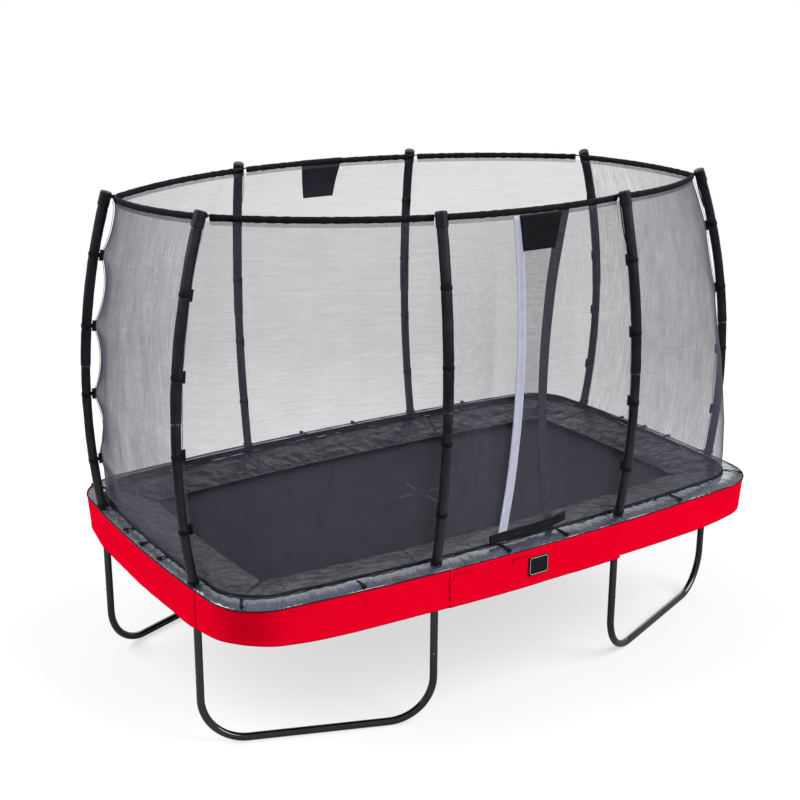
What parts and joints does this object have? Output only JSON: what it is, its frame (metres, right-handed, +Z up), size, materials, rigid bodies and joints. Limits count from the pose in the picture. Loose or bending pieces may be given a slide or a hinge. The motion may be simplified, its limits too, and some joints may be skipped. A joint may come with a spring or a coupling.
{
  "type": "trampoline",
  "caption": "Rectangular garden trampoline with a bowed tube frame, U legs, padded edge, hanging skirt, arched padded poles and a net enclosure with a split entrance.",
  "frame": {"origin": "on the ground, below the middle of the jumping bed", "axes": "+X along the length, to the right as seen from the entrance; -Y towards the entrance; +Z up"},
  "size_m": [3.8153, 2.3818, 2.8421],
  "materials": {
    "steel_gloss_black": "gloss powder coat",
    "zinc_steel": "zinc plated",
    "foam_sleeve": "laminated foam sleeve",
    "cap_plastic": "moulded",
    "fibreglass_rod": "drawn rod",
    "webbing": "woven webbing",
    "net_mesh": "open knitted mesh",
    "trim_light": "woven trim",
    "trim_dark": "woven trim",
    "panel_fabric": "coated cloth",
    "pad_vinyl": "coated foam pad",
    "skirt_vinyl": "coated cloth",
    "mat_weave": "woven polypropylene"
  },
  "bodies": {
    "frame": {"entrance_panel": "panel_fabric", "entrance_threshold": "panel_fabric", "frame_sockets": "steel_gloss_black", "leg_base_back_left": "steel_gloss_black", "leg_base_back_right": "steel_gloss_black", "leg_base_front_left": "steel_gloss_black", "leg_base_front_right": "steel_gloss_black", "leg_posts_back_left": "steel_gloss_black", "leg_posts_back_right": "steel_gloss_black", "leg_posts_front_left": "steel_gloss_black", "leg_posts_front_right": "steel_gloss_black", "leg_screws": "zinc_steel", "net_back": "net_mesh", "net_border": "webbing", "net_corner_back_left": "net_mesh", "net_corner_back_right": "net_mesh", "net_corner_front_left": "net_mesh", "net_corner_front_right": "net_mesh", "net_front_left": "net_mesh", "net_front_right": "net_mesh", "net_hems": "webbing", "net_left": "net_mesh", "net_right": "net_mesh", "net_straps": "webbing", "net_ties": "webbing", "pad_back": "pad_vinyl", "pad_front": "pad_vinyl", "pad_left": "pad_vinyl", "pad_right": "pad_vinyl", "pole_caps": "cap_plastic", "poles_back_left": "steel_gloss_black", "poles_back_right": "steel_gloss_black", "poles_front_left": "steel_gloss_black", "poles_front_right": "steel_gloss_black", "rail_back": "steel_gloss_black", "rail_corner_back_left": "steel_gloss_black", "rail_corner_back_right": "steel_gloss_black", "rail_corner_front_left": "steel_gloss_black", "rail_corner_front_right": "steel_gloss_black", "rail_front": "steel_gloss_black", "rail_left": "steel_gloss_black", "rail_right": "steel_gloss_black", "rear_flag": "panel_fabric", "ring_rods": "fibreglass_rod", "skirt_back": "skirt_vinyl", "skirt_corners": "skirt_vinyl", "skirt_front": "skirt_vinyl", "skirt_left": "skirt_vinyl", "skirt_patch": "skirt_vinyl", "skirt_right": "skirt_vinyl", "sleeves_lower": "foam_sleeve", "sleeves_upper": "foam_sleeve", "springs_long": "zinc_steel", "springs_short": "zinc_steel"},
    "bed": {"mat": "mat_weave", "mat_binding": "webbing", "mat_rings": "zinc_steel"},
    "flap_left": {"trim_left": "trim_dark"},
    "flap_right": {"trim_right": "trim_light"}
  },
  "joints": [
    {"name": "mat_bounce", "type": "slide", "parent": "frame", "child": "bed", "axis": [0, 0, 1], "range_m": [-0.2, 0], "stiffness_N_per_m": 6000, "springref_m": 0.02, "deforming": ["springs_long", "springs_short"]},
    {"name": "entrance_left", "type": "hinge", "parent": "frame", "child": "flap_left", "pos_m": [0.15373, -1.0563, 2.7284], "axis": [0, 1, 0], "range_deg": [0, 9]},
    {"name": "entrance_right", "type": "hinge", "parent": "frame", "child": "flap_right", "pos_m": [-0.15658, -1.0733, 2.7284], "axis": [0, -1, 0], "range_deg": [0, 9]}
  ]
}
